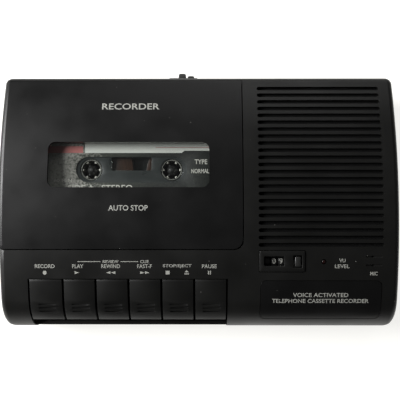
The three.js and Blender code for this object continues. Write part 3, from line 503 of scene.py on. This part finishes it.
# words, centre, cap height, width, what they lie on, body
prints = {
    "print_recorder": ("RECORDER", (-35.7, 46.95), 3.4, 30.0, onDoor, "door"),
    "print_auto_stop": ("AUTO STOP", (-36.15, -6.35), 2.8, 20.1, onDoor, "door"),
    "print_record": ("RECORD", (-78.8, -36.05), 2.0, 10.1, onTop, "case"),
    "print_play": ("PLAY", (-61.9, -36.05), 2.0, 5.7, onTop, "case"),
    "print_rewind": ("REWIND", (-45.1, -36.05), 2.0, 9.6, onTop, "case"),
    "print_fast": ("FAST-F", (-27.8, -36.05), 2.0, 7.5, onTop, "case"),
    "print_stop_eject": ("STOP/EJECT", (-11.1, -36.05), 2.0, 14.6, onTop, "case"),
    "print_pause": ("PAUSE", (5.3, -36.05), 2.0, 7.5, onTop, "case"),
    "print_review": ("REVIEW", (-45.1, -33.7), 1.5, 8.0, onTop, "case"),
    "print_cue": ("CUE", (-27.8, -33.7), 1.5, 4.3, onTop, "case"),
    "print_vu": ("VU", (73.0, -33.1), 1.9, 3.2, onTop, "case"),
    "print_level": ("LEVEL", (73.0, -36.05), 1.9, 7.4, onTop, "case"),
    "print_mic": ("MIC", (89.3, -39.8), 1.9, 3.9, onTop, "case"),
    "print_voice_activated": ("VOICE ACTIVATED", (62.4, -50.9), 2.1, 28.4, onPlate, "case"),
    "print_telephone_recorder": ("TELEPHONE CASSETTE RECORDER", (62.3, -54.0), 2.1, 49.6, onPlate, "case"),
}
for name, (words, centre, cap, wide, under, body) in prints.items():
    linkPiece(name, layDown(wordMesh(words, centre, cap, wide), under), body, looks["ink"])

signs = {
    "sign_record": [disc(-78.9, -39.35, 1.0)],
    "sign_play": [pointer(-62.4, -39.35, 2.3, 1.5, 1)],
    "sign_rewind": [pointer(-46.4, -39.35, 2.3, 1.4, -1), pointer(-43.9, -39.35, 2.3, 1.4, -1)],
    "sign_fast": [pointer(-28.9, -39.35, 2.3, 1.4, 1), pointer(-26.4, -39.35, 2.3, 1.4, 1)],
    "sign_stop": [bar(-16.05, -39.35, 2.0, 1.9)],
    "sign_eject": [[(-7.4, -39.2), (-5.2, -39.2), (-6.3, -38.1)], bar(-6.3, -40.0, 2.2, 0.55)],
    "sign_pause": [bar(4.8, -39.3, 0.55, 1.9), bar(5.8, -39.3, 0.55, 1.9)],
    "sign_review_line": [bar(-56.15, -33.7, 11.6, 0.32)],
    "sign_cue_line": [bar(-35.55, -33.7, 8.9, 0.32)],
}
for name, outlines in signs.items():
    linkPiece(name, layDown(signMesh(outlines), onTop), "case", looks["ink"])
print("words and signs are printed")


# ---- cassette

cassetteSet = {"hubX": -35.65, "hubY": 14.15, "labelTop": 37.1, "printThick": 0.03,
               "bandHex": "#c6c7bf", "accentHex": "#a5605c", "inkHex": "#b5b3aa",
               "capsuleHalf": 29.6, "capsuleRound": 7.15, "capsuleLine": 0.3,
               "paneSize": (20.9, 6.7, 1.0), "paneY": 17.2, "paneZ": 35.9, "paneEdge": 0.2}
# where the hubs stand, and the radii that part a hub's teeth from its rim
hubSet = {"radius": 6, "teethEnd": 4.2, "rimStart": 4.7, "supply": (-56.9, 14.15), "takeup": (-14.4, 14.15)}


# Coated label paper with halftone tone: grey at the left, running to near-black at the right; the grey at the
# left is partly the print and partly painted light, lightened to make up for the shadow of the window's left
# wall.
def paperPrintAndPaintedLight(name):
    material, tree, coords = newMaterial(name)
    place = addNode(tree, "SeparateXYZ", {"Vector": coords})
    fibre = addNode(tree, "TexNoise", {"Vector": coords, "Scale": 1 / (1.1 * mm), "Detail": 4.0})
    along = addNode(tree, "MapRange", {"Value": place.outputs["X"], 1: -82 * mm, 2: -22 * mm})
    mottled = addNode(tree, "Math", {0: along.outputs[0], 1: fibre.outputs["Fac"]}, operation="ADD")
    spread = addNode(tree, "MapRange", {"Value": mottled.outputs[0], 1: 0.35, 2: 1.55})
    # painted light: the pale first steps are lighter than the print so that the window wall's shadow on the
    # label's left is offset
    tone = colourSteps(tree, spread.outputs[0], [(0.0, linear("#a19f98")), (0.28, linear("#8b8982")),
                                                (0.52, linear("#34362f")), (1.0, linear("#1c1e1c"))])
    bump = addNode(tree, "Bump", {"Height": fibre.outputs["Fac"], "Strength": 0.15, "Distance": 0.01 * mm})
    shader = addNode(tree, "BsdfPrincipled", {"Base Color": tone, "Roughness": 0.42,
                                              "Normal": bump.outputs[0]})
    finishMaterial(tree, shader.outputs[0])
    return material


# distance from the axis of a turned piece
def radiusFrom(tree, coords, centre):
    centred = addNode(tree, "Mapping", {"Vector": coords, "Location": (-centre[0] * mm, -centre[1] * mm, 0)})
    parts = addNode(tree, "SeparateXYZ", {"Vector": centred.outputs[0]})
    flat = addNode(tree, "CombineXYZ", {"X": parts.outputs["X"], "Y": parts.outputs["Y"]})
    return addNode(tree, "VectorMath", {0: flat.outputs[0]}, operation="LENGTH").outputs["Value"]


# Moulded acetal hub: ivory teeth with dust mottling that darken slightly towards the rim as painted shade,
# and a rim painted dark grey as the shade of the shell and window over it.
def hubWithPaintedRimShade(name, centre):
    material, tree, coords = newMaterial(name)
    dust = addNode(tree, "TexNoise", {"Vector": coords, "Scale": 1 / (0.8 * mm), "Detail": 3.0})
    reach = addNode(tree, "MapRange", {"Value": radiusFrom(tree, coords, centre), 1: 0,
                                       2: hubSet["radius"] * mm})
    dustAndRimShade = addNode(tree, "Math", {0: reach.outputs[0], 1: dust.outputs["Fac"]}, operation="ADD")
    tone = colourSteps(tree, dustAndRimShade.outputs[0], [(0.0, linear("#c2c0b4")), (1.0, linear("#b5b3a8"))])
    # painted shade: past the teeth the rim is coloured dark grey where the shell and window shade it
    wheel = addNode(tree, "MapRange", {"Value": reach.outputs[0], 1: hubSet["teethEnd"] / hubSet["radius"],
                                       2: hubSet["rimStart"] / hubSet["radius"]})
    colour = addNode(tree, "Mix", {0: wheel.outputs[0], 6: tone, 7: linear("#5b5b55")}, data_type="RGBA")
    shader = addNode(tree, "BsdfPrincipled", {"Base Color": colour.outputs[2], "Roughness": 0.45})
    finishMaterial(tree, shader.outputs[0])
    return material


# Wound tape seen from its edge: dark brown with fine concentric bands from uneven winding.
def woundTape(name, centre):
    material, tree, coords = newMaterial(name)
    bands = addNode(tree, "TexNoise", {"W": radiusFrom(tree, coords, centre), "Scale": 1 / (0.45 * mm),
                                       "Detail": 3.0},
                    noise_dimensions="1D")  # turns are 0.012 mm apart; these are the visible bands of them
    tone = colourSteps(tree, bands.outputs["Fac"], [(0.3, linear("#22150f")), (0.7, linear("#4a3326"))])
    bump = addNode(tree, "Bump", {"Height": bands.outputs["Fac"], "Strength": 0.4, "Distance": 0.03 * mm})
    shader = addNode(tree, "BsdfPrincipled", {"Base Color": tone, "Roughness": 0.33,
                                              "Normal": bump.outputs[0]})
    finishMaterial(tree, shader.outputs[0])
    return material


looks["shellStyrene"] = mouldedPlastic("moulded polystyrene, cassette shell", "#2b2e2d", 0.3, flowMm=9.0)
looks["labelPaper"] = paperPrintAndPaintedLight("coated paper label, print and painted light")
looks["bandInk"] = screenInk("label ink, cream", cassetteSet["bandHex"], wear=0.12)
looks["accentInk"] = screenInk("label ink, muted red", cassetteSet["accentHex"], wear=0.15)
looks["labelInk"] = screenInk("label ink, pale", cassetteSet["inkHex"], wear=0.2)

for nodeName, (body, look, edgeMm) in {
        "cassette_shell": ("door", "shellStyrene", 0.3), "cassette_label": ("door", "labelPaper", 0.05),
        }.items():
    finishedCopy(nodeName, body, looks[look], edgeMm)
for side in ("supply", "takeup"):
    finishedCopy(side + "_hub", side + "_reel", hubWithPaintedRimShade("moulded acetal hub, " + side, hubSet[side]), 0.15)
    tape = woundTape("wound magnetic tape, " + side, hubSet[side])
    finishedCopy(side + "_tape_pack", side + "_reel", tape, 0.1)


# a print that lies flat at one height instead of following a surface
def flatPrint(mesh, z):
    for vertex in mesh.vertices:
        vertex.co.z += z * mm
    return mesh


def capsule(centreX, centreY, half, endRadius, steps=14):
    points = []
    for side, start in ((1, -90), (-1, 90)):
        for i in range(steps + 1):
            angle = math.radians(start + 180 * i / steps)
            points.append((centreX + side * (half - endRadius) + endRadius * math.cos(angle),
                           centreY + endRadius * math.sin(angle)))
    return points


# a thin closed frame between an outline and the same outline set in
def frameMesh(outline, widthMm, thick):
    bm = bmesh.new()
    face = bm.faces.new([bm.verts.new((x * mm, y * mm, thick * mm)) for x, y in outline])
    bmesh.ops.inset_region(bm, faces=[face], thickness=widthMm * mm, use_boundary=True,
                           use_even_offset=True)
    bmesh.ops.delete(bm, geom=[face], context="FACES_ONLY")
    bmesh.ops.solidify(bm, geom=bm.faces[:], thickness=-thick * mm)
    bmesh.ops.recalc_face_normals(bm, faces=bm.faces)
    mesh = bpy.data.meshes.new("frame")
    bm.to_mesh(mesh)
    bm.free()
    return mesh


hubX, hubY, labelTop = cassetteSet["hubX"], cassetteSet["hubY"], cassetteSet["labelTop"]
sheet = cassetteSet["printThick"]
bandLine = [(-60.2, 23.0), (-9.2, 23.0), (-7.6, 24.2), (8.2, 24.2), (8.2, 40.4), (-60.2, 40.4)]
stripeLine = [(-79.6, 23.0), (-61.2, 23.0), (-61.2, 26.6), (-79.6, 26.6)]
capsuleLine = capsule(hubX, hubY, cassetteSet["capsuleHalf"], cassetteSet["capsuleRound"])
labelPrints = {
    "label_band": (signMesh([bandLine], thick=sheet), "bandInk"),
    "label_stripe": (signMesh([stripeLine], thick=sheet), "accentInk"),
    "label_rule": (signMesh([bar(-8.0, 25.9, 30.0, 0.25)], thick=0.045), "accentInk"),
    "label_minutes": (wordMesh("60 MIN", (-71.7, 8.5), 1.8, 9.6, thick=sheet), "labelInk"),
    "label_type": (wordMesh("TYPE", (1.0, 18.3), 2.5, 6.6, thick=sheet), "labelInk"),
    "label_normal": (wordMesh("NORMAL", (0.6, 13.4), 2.3, 9.4, thick=sheet), "labelInk"),
    "label_side": (wordMesh("SIDE A   STEREO", (-52.0, 4.5), 3.2, 34.0, thick=sheet), "labelInk"),
    "label_capsule": (frameMesh(capsuleLine, cassetteSet["capsuleLine"], sheet), "labelInk"),
}
for name, (mesh, look) in labelPrints.items():
    linkPiece(name, flatPrint(mesh, labelTop), "door", looks[look])


# Clear insert over the tape in the middle of the shell.
def makeTapeWindow():
    bm = bmesh.new()
    bmesh.ops.create_cube(bm, size=1)
    bmesh.ops.scale(bm, vec=Vector(cassetteSet["paneSize"]) * mm, verts=bm.verts)
    bmesh.ops.bevel(bm, geom=bm.edges[:], offset=cassetteSet["paneEdge"] * mm, affect="EDGES", segments=2,
                    profile=0.5, material=-1)
    bmesh.ops.translate(bm, vec=Vector((hubX, cassetteSet["paneY"], cassetteSet["paneZ"])) * mm,
                        verts=bm.verts)
    linkPiece("cassette_tape_window", meshFrom(bm, "cassette_tape_window"), "door", looks["pane"])


makeTapeWindow()
print("cassette is dressed")


# ---- counter digits

counterSet = {"wheels": {"hundreds": 0, "tens": 0, "units": 9},
              "centres": {"hundreds": 35.15, "tens": 38.65, "units": 42.15},
              "y": -33.5, "z": 34.6, "radius": 6.4, "lift": 0.01, "cap": 2.9, "width": 1.75, "thick": 0.03}


# wraps a flat print round the wheel's rim, starting at an angle from its top
def wrapRound(mesh, startAngle):
    c = counterSet
    for vertex in mesh.vertices:
        x, y, z = vertex.co
        angle = y / (c["radius"] * mm) + startAngle
        reach = c["radius"] * mm + c["lift"] * mm + z
        vertex.co = (x, c["y"] * mm + reach * math.sin(angle), c["z"] * mm + reach * math.cos(angle))


def makeDigits(place, shown):
    bm = bmesh.new()
    for step in range(10):
        digit = wordMesh(str((shown + step) % 10), (counterSet["centres"][place], 0), counterSet["cap"],
                         counterSet["width"], thick=counterSet["thick"])
        wrapRound(digit, math.radians(36 * step))
        bm.from_mesh(digit)
    linkPiece("digits_" + place, meshFrom(bm, "digits_" + place), place,
              looks["ink"] if place != "hundreds" else looks["dimInk"])


looks["dimInk"] = screenInk("worn ink, counter", "#3c3b38")
looks["wheelAbs"] = mouldedPlastic("moulded acetal, number wheels", "#0f0f0f", 0.35, flowMm=2.0)
for place, shown in counterSet["wheels"].items():
    finishedCopy("counter_wheel_" + place, place, looks["wheelAbs"], 0.12)
    makeDigits(place, shown)
print("counter has its digits")


# ---- drive, sockets and small metal parts

looks["boardResin"] = mouldedPlastic("glass-epoxy board with solder mask", "#33502c", 0.4, flowMm=3.0)
looks["lampResin"] = mouldedPlastic("tinted epoxy lamp", "#150504", 0.25, flowMm=2.0)
looks["paperCone"] = mouldedRubber("pressed paper cone", "#1d1c1b")
for nodeName, (body, look, edgeMm) in {
        "deck_chassis": ("case", "steel", 0.15), "motor": ("case", "steel", 0.3),
        "speaker": ("case", "paperCone", 0.2),
        "supply_spindle": ("supply_drive", "knobAbs", 0.2),
        "takeup_spindle": ("takeup_drive", "knobAbs", 0.2),
        "capstan_flywheel": ("capstan", "turnedSteel", 0.15), "motor_pulley": ("motor_shaft", "brass", 0.1),
        "head_slide": ("head_carriage", "steel", 0.15),
        "record_play_head": ("head_carriage", "turnedSteel", 0.2),
        "erase_head": ("head_carriage", "innerAbs", 0.2), "pinch_arm": ("head_carriage", "steel", 0.15),
        "pinch_roller": ("pinch", "rubber", 0.3), "microphone": ("case", "steel", 0.2),
        "level_led": ("case", "lampResin", 0.1), "circuit_board": ("case", "boardResin", 0.1),
        "foot_1": ("case", "rubber", 0.3), "foot_2": ("case", "rubber", 0.3),
        "foot_3": ("case", "rubber", 0.3),
        "foot_4": ("case", "rubber", 0.3), "drive_belt": ("case", "rubber", 0.1),
        "battery_contact_left": ("case", "steel", 0.1), "battery_contact_right": ("case", "steel", 0.1),
        "key_shaft": ("case", "turnedSteel", 0.2), "counter_shaft": ("case", "turnedSteel", 0.1),
        "door_hinge_pin": ("case", "turnedSteel", 0.1),
        }.items():
    finishedCopy(nodeName, body, looks[look], edgeMm)
print("drive and small parts are finished")


# ---- cloth under the grille

clothSet = {"x": (29.6, 96.0), "y": (-27.0, 57.6), "below": 2.4, "thick": 0.25, "threadMm": 0.6}


# Woven polyester: matt black with a plain weave; threads are 0.15 mm, drawn at 0.6 mm so that they show.
def wovenCloth(name, hexColour):
    material, tree, coords = newMaterial(name)
    scale = 0.5 / (clothSet["threadMm"] * mm)
    warp = addNode(tree, "TexWave", {"Vector": coords, "Scale": scale}, bands_direction="X")
    weft = addNode(tree, "TexWave", {"Vector": coords, "Scale": scale}, bands_direction="Y")
    weave = addNode(tree, "Math", {0: warp.outputs["Fac"], 1: weft.outputs["Fac"]}, operation="MULTIPLY")
    base = Vector(linear(hexColour)[:3])
    tone = colourSteps(tree, weave.outputs[0], [(0.1, tuple(base * 0.4) + (1,)), (0.8, tuple(base) + (1,))])
    bump = addNode(tree, "Bump", {"Height": weave.outputs[0], "Strength": 0.5, "Distance": 0.1 * mm})
    shader = addNode(tree, "BsdfPrincipled", {"Base Color": tone, "Roughness": 0.95,
                                              "Normal": bump.outputs[0],
                                              "Specular IOR Level": 0.15})
    finishMaterial(tree, shader.outputs[0])
    return material


looks["cloth"] = wovenCloth("woven polyester, grille cloth", "#0a0a0a")


def domeHeight(y):
    form = caseForm
    return form["topZ"] - form["domeRadius"] + math.sqrt(form["domeRadius"] ** 2 - (y - form["apexY"]) ** 2)


def makeGrilleCloth():
    c = clothSet
    wide, long = (c["x"][1] - c["x"][0]) * mm, (c["y"][1] - c["y"][0]) * mm
    bm = bmesh.new()
    bmesh.ops.create_grid(bm, x_segments=6, y_segments=36, size=0.5)
    bmesh.ops.scale(bm, vec=(wide, long, 1), verts=bm.verts)
    bmesh.ops.translate(bm, vec=(sum(c["x"]) / 2 * mm, sum(c["y"]) / 2 * mm, 0), verts=bm.verts)
    for vertex in bm.verts:
        vertex.co.z = domeHeight(vertex.co.y) - c["below"] * mm
    bmesh.ops.solidify(bm, geom=bm.faces[:], thickness=c["thick"] * mm)
    bmesh.ops.recalc_face_normals(bm, faces=bm.faces)
    cloth = linkPiece("grille_cloth", meshFrom(bm, "grille_cloth"), "case", looks["cloth"])


makeGrilleCloth()


# ---- screws under the case

screwSet = {"headRadius": 2.1, "headHigh": 1.5, "headEdge": 0.35, "shankRadius": 1.0, "length": 11.0,
            "crossLong": 2.7, "crossWide": 0.6, "crossDeep": 1.0, "seatZ": 6.0, "sharpAngle": 30,
            "places": ((-95.4, -56), (-95.4, 46), (95.4, -56), (95.4, 56.6))}


# runs a half profile of (radius, z) round the Z axis
def turnedMesh(profile, steps=28):
    bm = bmesh.new()
    verts = [bm.verts.new((r * mm, 0, z * mm)) for r, z in profile]
    edges = [bm.edges.new(pair) for pair in zip(verts, verts[1:])]
    bmesh.ops.spin(bm, geom=verts + edges, cent=(0, 0, 0), axis=(0, 0, 1), angle=2 * math.pi, steps=steps,
                   use_merge=True)
    bmesh.ops.remove_doubles(bm, verts=bm.verts, dist=0.001 * mm)
    bmesh.ops.recalc_face_normals(bm, faces=bm.faces)
    return bm


# cuts one bmesh out of another and returns the mesh that is left
def carved(bm, cutter, name):
    pieces = []
    for label, part in (("whole", bm), ("cutter", cutter)):
        mesh = bpy.data.meshes.new(label)
        part.to_mesh(mesh)
        part.free()
        pieces.append(bpy.data.objects.new(label, mesh))
        bpy.context.scene.collection.objects.link(pieces[-1])
    whole, tool = pieces
    cut = whole.modifiers.new("cut", "BOOLEAN")
    cut.object = tool
    cut.operation = "DIFFERENCE"
    cut.solver = "MANIFOLD"
    mesh = bpy.data.meshes.new_from_object(whole.evaluated_get(bpy.context.evaluated_depsgraph_get()))
    mesh.name = name
    for piece in pieces:
        bpy.data.objects.remove(piece)
    return mesh


def boxInto(bm, size, centre):
    made = bmesh.ops.create_cube(bm, size=1)["verts"]
    bmesh.ops.scale(bm, vec=Vector(size) * mm, verts=made)
    bmesh.ops.translate(bm, vec=Vector(centre) * mm, verts=made)


def makeScrews():
    c = screwSet
    head, high, shank = c["headRadius"], c["headHigh"], c["shankRadius"]
    for number, (x, y) in enumerate(c["places"], 1):
        bm = turnedMesh([(0, -high), (head * 0.6, -high), (head * 0.92, -high * 0.72), (head, -c["headEdge"]),
                         (head, 0), (shank, 0), (shank, c["length"] - 1), (0, c["length"])])
        cross = bmesh.new()
        for wide, long in ((c["crossLong"], c["crossWide"]), (c["crossWide"], c["crossLong"])):
            boxInto(cross, (wide, long, c["crossDeep"] * 2), (0, 0, -high))
        mesh = carved(bm, cross, "case_screw_" + str(number))
        seat = Matrix.Translation((x * mm, y * mm, c["seatZ"] * mm))
        mesh.transform(seat @ Matrix.Rotation(0.5 * number, 4, "Z"))  # each stops at its own turn
        mesh.polygons.foreach_set("use_smooth", [True] * len(mesh.polygons))
        mesh.set_sharp_from_angle(angle=math.radians(c["sharpAngle"]))
        linkPiece("case_screw_" + str(number), mesh, "case", looks["darkSteel"])


makeScrews()


# ---- socket contacts, ferrules and battery springs

socketSet = {"wireRadius": 0.22, "wires": 4, "wirePitch": 1.02, "centres": (64, 80), "from": (60.2, 11.5),
             "to": (51.5, 14.4), "ferrule": {"earphone_jack": 34, "microphone_jack": 23}, "ferruleZ": 13,
             "ferruleProfile": ((1.9, 0), (3.0, 0), (3.0, 1.1), (2.7, 1.4), (2.2, 1.4), (1.9, 1.0), (1.9, 0))}


def makeSocketWires():
    c = socketSet
    for socket, centreX in zip(("line", "set"), c["centres"]):
        bm = bmesh.new()
        start, end = Vector((0, *c["from"])) * mm, Vector((0, *c["to"])) * mm
        heading = end - start
        turn = heading.to_track_quat("Z", "X").to_matrix().to_4x4()
        for i in range(c["wires"]):
            x = (centreX + (i - (c["wires"] - 1) / 2) * c["wirePitch"]) * mm
            place = Matrix.Translation((start + end) / 2 + Vector((x, 0, 0))) @ turn
            bmesh.ops.create_cone(bm, cap_ends=True, segments=10, radius1=c["wireRadius"] * mm,
                                  radius2=c["wireRadius"] * mm, depth=heading.length, matrix=place)
        linkPiece(socket + "_socket_wires", meshFrom(bm, socket + "_socket_wires"), "case", looks["brass"])


def makeFerrules():
    c = socketSet
    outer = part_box("earphone_jack")[1][0] / mm  # outer face of the socket body
    for nodeName, y in c["ferrule"].items():
        bm = turnedMesh(c["ferruleProfile"])
        bmesh.ops.rotate(bm, cent=(0, 0, 0), matrix=Matrix.Rotation(math.pi / 2, 3, "Y"), verts=bm.verts)
        bmesh.ops.translate(bm, vec=(outer * mm, y * mm, c["ferruleZ"] * mm), verts=bm.verts)
        linkPiece(nodeName + "_ferrule", meshFrom(bm, nodeName + "_ferrule"), "case", looks["turnedSteel"])


springSet = {"count": 4, "firstY": -38.2, "pitch": 14.8, "z": 12, "long": 6.2, "wide": 4.3, "narrow": 2.4,
             "turns": 4, "wire": 0.32}


# conical coil springs on the left battery contact
def makeBatterySprings():
    c = springSet
    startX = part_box("battery_contact_left")[1][0] / mm - 0.3
    steps = 18 * c["turns"]
    for number in range(c["count"]):
        curve = bpy.data.curves.new("spring", "CURVE")
        curve.dimensions = "3D"
        curve.bevel_depth = c["wire"] * mm
        curve.bevel_resolution = 2
        curve.use_fill_caps = True
        spline = curve.splines.new("POLY")
        spline.points.add(steps)
        for i, point in enumerate(spline.points):
            share = i / steps
            angle = 2 * math.pi * c["turns"] * share
            radius = c["wide"] + (c["narrow"] - c["wide"]) * share
            point.co = ((startX + c["long"] * share) * mm,
                        (c["firstY"] + c["pitch"] * number + radius * math.cos(angle)) * mm,
                        (c["z"] + radius * math.sin(angle)) * mm, 1)
        coil = bpy.data.objects.new("spring", curve)
        bpy.context.scene.collection.objects.link(coil)
        mesh = bpy.data.meshes.new_from_object(coil.evaluated_get(bpy.context.evaluated_depsgraph_get()))
        bpy.data.objects.remove(coil)
        mesh.polygons.foreach_set("use_smooth", [True] * len(mesh.polygons))
        linkPiece("battery_spring_" + str(number + 1), mesh, "case", looks["turnedSteel"])


makeSocketWires()
makeFerrules()
makeBatterySprings()


# ---- words on the right side and the rear

# stands a flat print up against a wall; across and out are the wall's own directions
def standUp(mesh, centre, across, out):
    turned = Matrix((across, (0, 0, 1), out)).transposed().to_4x4()
    mesh.transform(Matrix.Translation(Vector(centre) * mm) @ turned)
    return mesh


rearWallY = caseForm["rearY"] / mm
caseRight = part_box("top_housing")[1][0] / mm
# words, place along the wall, height and width
sideWords = {"print_dc": ("DC 6V", 46, 20.6, 6.4), "print_ear": ("EAR", 34, 20.6, 4.4),
             "print_mic_socket": ("MIC", 23, 20.6, 4.2), "print_volume": ("VOLUME", -10, 32.6, 9.6)}
rearWords = {"print_line": ("LINE", 64, 23.2, 5.4), "print_phone": ("PHONE", 80, 23.2, 8.0)}
wallSet = {"cap": 1.9, "lift": 0.01}

for name, (words, y, z, wide) in sideWords.items():
    printed = standUp(wordMesh(words, (0, 0), wallSet["cap"], wide), (caseRight + wallSet["lift"], y, z),
                      (0, 1, 0), (1, 0, 0))
    linkPiece(name, printed, "case", looks["ink"])
for name, (words, x, z, wide) in rearWords.items():
    printed = standUp(wordMesh(words, (0, 0), wallSet["cap"], wide), (x, rearWallY + wallSet["lift"], z),
                      (-1, 0, 0), (0, 1, 0))
    linkPiece(name, printed, "case", looks["ink"])
print("cloth, screws, contacts and side words are made")
